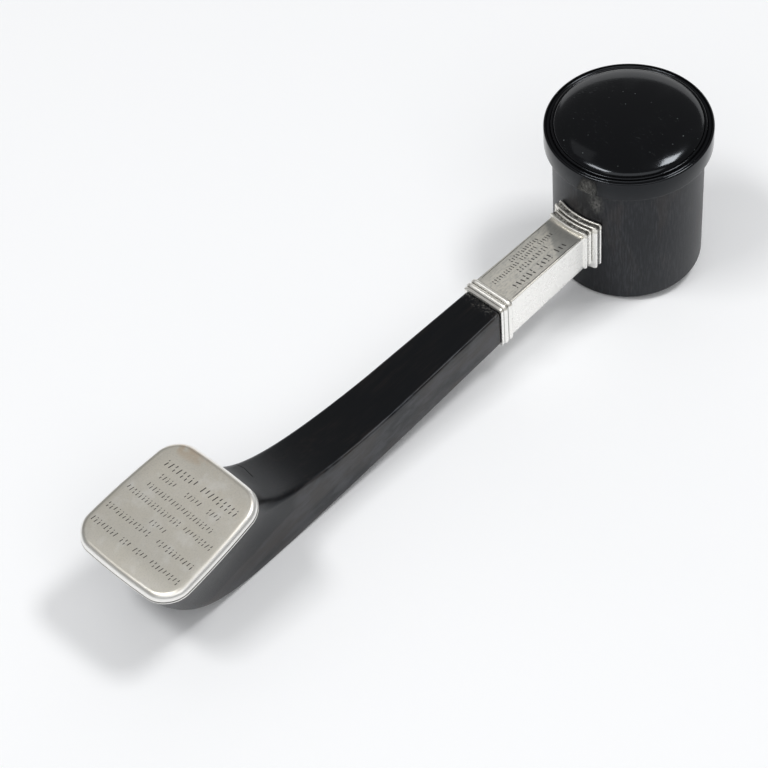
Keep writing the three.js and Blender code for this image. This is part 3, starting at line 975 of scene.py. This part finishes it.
def engrave(piece, rows, surface, seed, width_share, borders=()):
    """Cuts rows of strokes, and long border lines, into a piece."""
    chance = random.Random(seed)
    stroke = model_stroke()
    cuts = []
    for across, start, end, tall, blanks in rows:
        width = width_share * tall
        count = int(abs(end - start) / (tall * STROKE_PITCH))
        sign = 1 if end > start else -1
        for i in range(count):
            share = (i + 0.5) / count
            if any(low < share < high for low, high in blanks):
                continue
            along = lerp(start, end, share)
            for shift, lift, lean, length in chance.choice(STROKE_CELLS):
                wobble = chance.uniform(-STROKE_WOBBLE, STROKE_WOBBLE)
                place = (across + lift * tall, along + sign * shift * tall)
                cuts.append(set_stroke(stroke, surface, *place, lean + wobble, length * tall, width))
    for across, start, end in borders:
        cuts.append(set_stroke(stroke, surface, across, (start + end) / 2, 90, end - start, BORDER_WIDTH))
    bpy.data.objects.remove(stroke)
    start_clean()
    for cut in cuts:
        cut.select_set(True)
    bpy.context.view_layer.objects.active = cuts[0]
    bpy.ops.object.join()
    cutter = bpy.context.object
    only(cutter)
    bpy.ops.object.mode_set(mode="EDIT")
    bpy.ops.mesh.select_all(action="SELECT")
    bpy.ops.mesh.normals_make_consistent(inside=False)
    bpy.ops.object.mode_set(mode="OBJECT")
    groove = groove_paint(piece.name)
    piece.data.materials.append(groove)
    cutter.data.materials.append(piece.data.materials[0])
    cutter.data.materials.append(groove)
    for face in cutter.data.polygons:
        face.material_index = 1
    cut_away(piece, cutter)


# Ferrule
def sleeve_section(out, offset, radius=None):
    """A ring of the sleeve. With a radius it follows the drum, else it is flat at out."""
    share = (out - DRUM_SEAT) / SLEEVE_LENGTH
    depth = lerp(SLEEVE_DRUM_DEPTH, SLEEVE_FAR_DEPTH, share)
    width = lerp(SLEEVE_DRUM_WIDTH, SLEEVE_FAR_WIDTH, share) + 2 * offset
    ring = rib(
        (out, SLEEVE_TOP - depth - offset), (out, SLEEVE_TOP + offset), width, width,
        SLEEVE_EDGE + RAISED_CORNER_GROWTH * max(0.0, offset), corner_steps=5, side_steps=8,
    )
    if radius is not None:
        for point in ring:
            point.x = -math.sqrt((radius * MM) ** 2 - point.y ** 2)
    return ring


def collar_section(radius, start, proud, drop):
    """A ring of a collar band at a radius from the head's axis; drop is how far it lies inside."""
    top, side, under = (value - drop for value in proud)
    out = radius
    # The width and how far out the ring stands depend on each other, so they are settled in two goes
    for _ in range(2):
        share = (out - DRUM_SEAT) / SLEEVE_LENGTH
        width = lerp(SLEEVE_DRUM_WIDTH, SLEEVE_FAR_WIDTH, share) + 2 * (side + COLLAR_FLARE * (out - start))
        out = math.sqrt(radius ** 2 - (width / 2) ** 2)
    depth = lerp(SLEEVE_DRUM_DEPTH, SLEEVE_FAR_DEPTH, share)
    ring = rib(
        (out, SLEEVE_TOP - depth - under), (out, SLEEVE_TOP + top), width, width,
        COLLAR_CORNER, corner_steps=5, side_steps=8,
    )
    for point in ring:
        point.x = -math.sqrt((radius * MM) ** 2 - point.y ** 2)
    return ring


def rounded_step(at, turn, edge):
    """(radius, drop) points of a rounded edge at a radius: turn -1 rises to the rim, 1 falls from it."""
    angles = (180, 90) if turn < 0 else (90, 0)
    return [(x, edge - y) for x, y in arc(at - turn * edge, 0, edge, *angles, steps=3)]


def collar_band(start, proud):
    """Rings over one band: a rounded rim on each side of a shallow trough."""
    end = start + COLLAR_BAND
    steps = [
        *rounded_step(start, -1, COLLAR_RIM_EDGE),
        *rounded_step(start + COLLAR_RIM, 1, COLLAR_RIM_EDGE),
        (start + COLLAR_RIM, COLLAR_DIP),
        (end - COLLAR_RIM, COLLAR_DIP),
        *rounded_step(end - COLLAR_RIM, -1, COLLAR_RIM_EDGE),
        *rounded_step(end, 1, COLLAR_RIM_EDGE),
    ]
    rings = [collar_section(radius, start, proud, drop) for radius, drop in steps]
    return [sleeve_section(start, COLLAR_NECK, start), *rings, sleeve_section(end, COLLAR_NECK, end)]


def build_ferrule():
    step_start = DRUM_SEAT + COLLAR_BAND + COLLAR_GAP
    collar_end = step_start + COLLAR_BAND
    rings = collar_band(DRUM_SEAT, DRUM_BAND_PROUD)[1:] + collar_band(step_start, STEP_BAND_PROUD)
    rings.append(sleeve_section(collar_end + COLLAR_FOOT, 0.0, collar_end + COLLAR_FOOT))
    lip_start = SLEEVE_END - FAR_LIP_WIDTH
    bead_start = lip_start - BEAD_COUNT * FAR_BEAD_WIDTH
    flat_start = collar_end + COLLAR_CURVE_END
    for i in range(FLAT_STEPS + 1):
        rings.append(sleeve_section(lerp(flat_start, bead_start, i / FLAT_STEPS), 0.0))
    for i in range(BEAD_COUNT * BEAD_STEPS + 1):
        swell = abs(math.sin(math.pi * i / BEAD_STEPS))
        out = bead_start + FAR_BEAD_WIDTH * i / BEAD_STEPS
        rings.append(sleeve_section(out, lerp(FAR_VALLEY_PROUD, FAR_BEAD_PROUD, swell)))
    rings += [
        sleeve_section(lip_start + LIP_START, FAR_LIP_PROUD - LIP_DROP),
        sleeve_section(lip_start + LIP_RISE, FAR_LIP_PROUD),
        sleeve_section(SLEEVE_END - LIP_ROUND, FAR_LIP_PROUD),
        sleeve_section(SLEEVE_END, FAR_LIP_PROUD - LIP_ROUND),
        sleeve_section(SLEEVE_END, -SLEEVE_WALL),
        sleeve_section(DRUM_SEAT, -SLEEVE_WALL, DRUM_SEAT),
        rings[0],
    ]
    ferrule = draw_out("silver_ferrule", rings, tube=True)
    ferrule.data.materials.append(silver_ferrule())
    engrave(ferrule, FERRULE_ROWS, on_sleeve, FERRULE_SEED, FERRULE_STROKE_SHARE, FERRULE_BORDERS)
    lay_down(ferrule)
    finish_piece(ferrule, "ferrule")


# Plate
def on_plate(u, v, up):
    """A point u along the plate, v across it and up from its underside."""
    tilt = math.radians(PLATE_TILT)
    return Vector((
        -(PLATE_OUT + u * math.cos(tilt) + up * math.sin(tilt)),
        v,
        PLATE_HEIGHT - u * math.sin(tilt) + up * math.cos(tilt),
    )) * MM


def plate_ring(inset, up):
    outline = rounded_outline(
        PLATE_LENGTH - 2 * inset, PLATE_NEAR_WIDTH - 2 * inset, PLATE_FAR_WIDTH - 2 * inset,
        PLATE_CORNER - inset, PLATE_BOW, corner_steps=14, side_steps=9,
    )
    return [on_plate(u, -v, up) for u, v in outline]


def build_plate():
    body_start = PLATE_LIP + PLATE_GROOVE
    rings = [
        plate_ring(PLATE_SOFT_EDGE, 0),
        plate_ring(0, PLATE_SOFT_EDGE),
        plate_ring(0, PLATE_LIP - PLATE_SOFT_EDGE),
        plate_ring(PLATE_SOFT_EDGE, PLATE_LIP),
        plate_ring(PLATE_GROOVE_DEPTH, PLATE_LIP),
        plate_ring(PLATE_GROOVE_DEPTH, body_start),
    ]
    edge = arc(PLATE_EDGE_RADIUS, 0, PLATE_EDGE_RADIUS, 180, 90, steps=10)
    rings += [plate_ring(PLATE_BODY_INSET + x, body_start + y) for x, y in edge]
    plate = draw_out("silver_plate", rings)
    plate.data.materials.append(silver_plate())
    engrave(plate, PLATE_ROWS, on_plate_face, PLATE_SEED, PLATE_STROKE_SHARE)
    lay_down(plate)
    finish_piece(plate, "plate")


# Handle
def mouth_end(side):
    """Where the handle meets the plate: side -1 at its head side, 1 at its outer end."""
    end = on_plate(side * (PLATE_LENGTH / 2 - PLATE_OVERHANG), 0, -SEAT_GAP) / MM
    return Vector((-end.x, end.z))


def sweep_points(start, start_angle, run, end, end_angle, reach, count):
    """Evenly spaced points on one cubic curve."""
    def ahead(length, angle):
        return Vector((math.cos(math.radians(angle)), math.sin(math.radians(angle)))) * length

    control = [start, start + ahead(run, start_angle), end - ahead(reach, end_angle), end]
    points = []
    for i in range(SWEEP_FINENESS + 1):
        t = i / SWEEP_FINENESS
        weights = ((1 - t) ** 3, 3 * (1 - t) ** 2 * t, 3 * (1 - t) * t * t, t ** 3)
        points.append(sum((w * p for w, p in zip(weights, control)), Vector((0, 0))))
    lengths = [0.0]
    for before, after in zip(points, points[1:]):
        lengths.append(lengths[-1] + (after - before).length)
    even = []
    index = 0
    for i in range(count + 1):
        target = lengths[-1] * i / count
        while index < SWEEP_FINENESS - 1 and lengths[index + 1] < target:
            index += 1
        span = lengths[index + 1] - lengths[index]
        share = (target - lengths[index]) / span if span else 0.0
        even.append(points[index].lerp(points[index + 1], min(1.0, share)))
    return even


def wood_rib(under, top, under_width, top_width, corner=WOOD_EDGE, bow=0.0):
    return rib(under, top, under_width, top_width, corner, bow, corner_steps=6, side_steps=7)


# A short crack in the wood beside the plate, as places (across, along) on the flare
CRACK = ((11.6, 0.7), (9.0, 0.1), (6.6, -0.5), (4.4, 0.0), (1.8, 0.5))
CRACK_OUT = 177.8
CRACK_HEIGHT = 41.35
CRACK_SLOPE = 28.0
CRACK_WIDTH = 0.42
CRACK_DEPTH = 0.5
CRACK_OVERLAP = 1.2


def on_flare(across, along, up):
    slope = math.radians(CRACK_SLOPE)
    return Vector((
        -CRACK_OUT - along * math.cos(slope) + up * math.sin(slope),
        across,
        CRACK_HEIGHT + along * math.sin(slope) + up * math.cos(slope),
    )) * MM


def crack_flare(handle):
    stroke = model_stroke()
    for (u0, v0), (u1, v1) in zip(CRACK, CRACK[1:]):
        lean = math.degrees(math.atan2(v1 - v0, u1 - u0))
        length = CRACK_OVERLAP * math.hypot(u1 - u0, v1 - v0)
        middle = ((u0 + u1) / 2, (v0 + v1) / 2)
        cut_away(handle, set_stroke(stroke, on_flare, *middle, lean, length, CRACK_WIDTH, CRACK_DEPTH))
    bpy.data.objects.remove(stroke)


def build_handle():
    shoulder = SLEEVE_END + SEAT_GAP
    inner = SLEEVE_WALL + SEAT_GAP

    def tongue(out):
        share = (out - DRUM_SEAT) / SLEEVE_LENGTH
        depth = lerp(SLEEVE_DRUM_DEPTH, SLEEVE_FAR_DEPTH, share)
        width = lerp(SLEEVE_DRUM_WIDTH, SLEEVE_FAR_WIDTH, share) - 2 * inner
        return wood_rib((out, SLEEVE_TOP - depth + inner), (out, SLEEVE_TOP - inner), width, width)

    start_width = SLEEVE_FAR_WIDTH - 2 * WOOD_SIDE_STEP
    start_under = Vector((shoulder, SLEEVE_TOP - SLEEVE_FAR_DEPTH + WOOD_UNDER_STEP))
    start_top = Vector((shoulder, SLEEVE_TOP - WOOD_TOP_STEP))
    waist_top = Vector((WAIST_OUT, SLEEVE_TOP - WAIST_TOP_DROP))
    waist_under = waist_top - Vector((0, WAIST_DEPTH))
    rings = [tongue(DRUM_SEAT), tongue(shoulder)]
    for i in range(STRAIGHT_STEPS):
        share = i / STRAIGHT_STEPS
        width = lerp(start_width, WAIST_WIDTH, share)
        under, top = start_under.lerp(waist_under, share), start_top.lerp(waist_top, share)
        rings.append(wood_rib(under, top, width, width))
    top_sweep = sweep_points(waist_top, 0, TOP_RUN, mouth_end(-1), TOP_ARRIVAL, TOP_REACH, SWEEP_STEPS)
    under_sweep = sweep_points(
        waist_under, -UNDER_SLOPE, UNDER_RUN, mouth_end(1), HEEL_ARRIVAL, HEEL_REACH, SWEEP_STEPS,
    )
    for i, (top, under) in enumerate(zip(top_sweep, under_sweep)):
        share = i / SWEEP_STEPS
        plain = lerp(WAIST_WIDTH, NECK_WIDTH, share)
        rings.append(wood_rib(
            under, top,
            plain + (PLATE_FAR_WIDTH - 2 * PLATE_OVERHANG - NECK_WIDTH) * share ** UNDER_FLARE_POWER,
            plain + (PLATE_NEAR_WIDTH - 2 * PLATE_OVERHANG - NECK_WIDTH) * share ** TOP_FLARE_POWER,
            lerp(WOOD_EDGE, PLATE_CORNER - PLATE_OVERHANG, share ** CORNER_FLARE_POWER),
            PLATE_BOW * share ** CORNER_FLARE_POWER,
        ))
    handle = draw_out("ebony_handle", rings)
    handle.data.materials.append(ebony_handle())
    crack_flare(handle)
    lay_down(handle)
    rest_on_table(handle)
    finish_piece(handle, "handle")


# Table, its size in metres
TABLE_SIZE = 6


def build_table():
    start_clean()
    bpy.ops.mesh.primitive_plane_add(size=TABLE_SIZE, location=(0, 0, 0))
    table = bpy.context.object
    table.name = "table"
    bpy.ops.object.transform_apply(location=True, rotation=True, scale=True)
    table.data.materials.append(table_paint())


# Lights, in degrees and metres: name, azimuth, elevation, distance, size, radiance
SOFT_LIGHTS = (
    ("softbox_right", -36, 67, 2.0, (0.56, 0.42), 18.0),
    ("softbox_left", 160, 60, 2.0, (0.72, 0.34), 16.5),
    ("near_panel", -137, 48, 2.2, (2.8, 1.4), 1.26),
    ("left_card", 96, 60, 2.0, (0.7, 0.5), 0.35),
    ("far_card", 30, 16, 1.6, (2.4, 0.7), 0.92),
)
LIGHT_AIM = (-0.09, 0.0, 0.03)
ROOM_COLOUR = (0.97, 0.985, 1.0, 1.0)
ROOM_STRENGTH = 0.20


def soft_light(name, azimuth, elevation, distance, size, radiance):
    """A rectangular soft light aimed at the mallet's middle."""
    turn, rise = math.radians(azimuth), math.radians(elevation)
    aim = Vector(LIGHT_AIM)
    away = Vector((math.cos(turn) * math.cos(rise), math.sin(turn) * math.cos(rise), math.sin(rise)))
    bpy.ops.object.light_add(type="AREA", location=aim + away * distance)
    light = bpy.context.object
    light.name = name
    light.rotation_euler = away.to_track_quat("Z", "Y").to_euler()
    light.data.shape = "RECTANGLE"
    light.data.size, light.data.size_y = size
    light.data.energy = radiance * math.pi * size[0] * size[1]
    light.visible_camera = False


def build_lights():
    world = bpy.data.worlds.new("studio")
    bpy.context.scene.world = world
    world.use_nodes = True
    background = world.node_tree.nodes["Background"]
    background.inputs["Color"].default_value = ROOM_COLOUR
    background.inputs["Strength"].default_value = ROOM_STRENGTH
    for light in SOFT_LIGHTS:
        soft_light(*light)


# Camera: its place in millimetres, and its angles in degrees
CAMERA_PLACE = (-551.07, -403.29, 649.78)
CAMERA_AZIMUTH = -47.385
CAMERA_ELEVATION = 46.353
CAMERA_ROLL = 1.046
CAMERA_LENS = 126.2
CAMERA_SENSOR = 36.0
CAMERA_NEAREST = 0.01


def build_camera():
    azimuth, elevation, roll = (math.radians(v) for v in (CAMERA_AZIMUTH, CAMERA_ELEVATION, CAMERA_ROLL))
    back = Vector((
        math.sin(azimuth) * math.cos(elevation),
        -math.cos(azimuth) * math.cos(elevation),
        math.sin(elevation),
    ))
    level = Vector((math.cos(azimuth), math.sin(azimuth), 0))
    upward = back.cross(level)
    right = level * math.cos(roll) + upward * math.sin(roll)
    up = upward * math.cos(roll) - level * math.sin(roll)
    camera_data = bpy.data.cameras.new("camera")
    camera_data.lens = CAMERA_LENS
    camera_data.sensor_width = CAMERA_SENSOR
    camera_data.sensor_fit = "HORIZONTAL"
    camera_data.clip_start = CAMERA_NEAREST
    camera = bpy.data.objects.new("camera", camera_data)
    bpy.context.collection.objects.link(camera)
    camera.matrix_world = Matrix((
        (right.x, up.x, back.x, CAMERA_PLACE[0] * MM),
        (right.y, up.y, back.y, CAMERA_PLACE[1] * MM),
        (right.z, up.z, back.z, CAMERA_PLACE[2] * MM),
        (0, 0, 0, 1),
    ))
    bpy.context.scene.camera = camera


build_camera()
build_lights()
build_table()
turn_head()
build_ferrule()
build_plate()
build_handle()
bpy.context.scene.view_settings.view_transform = "Standard"
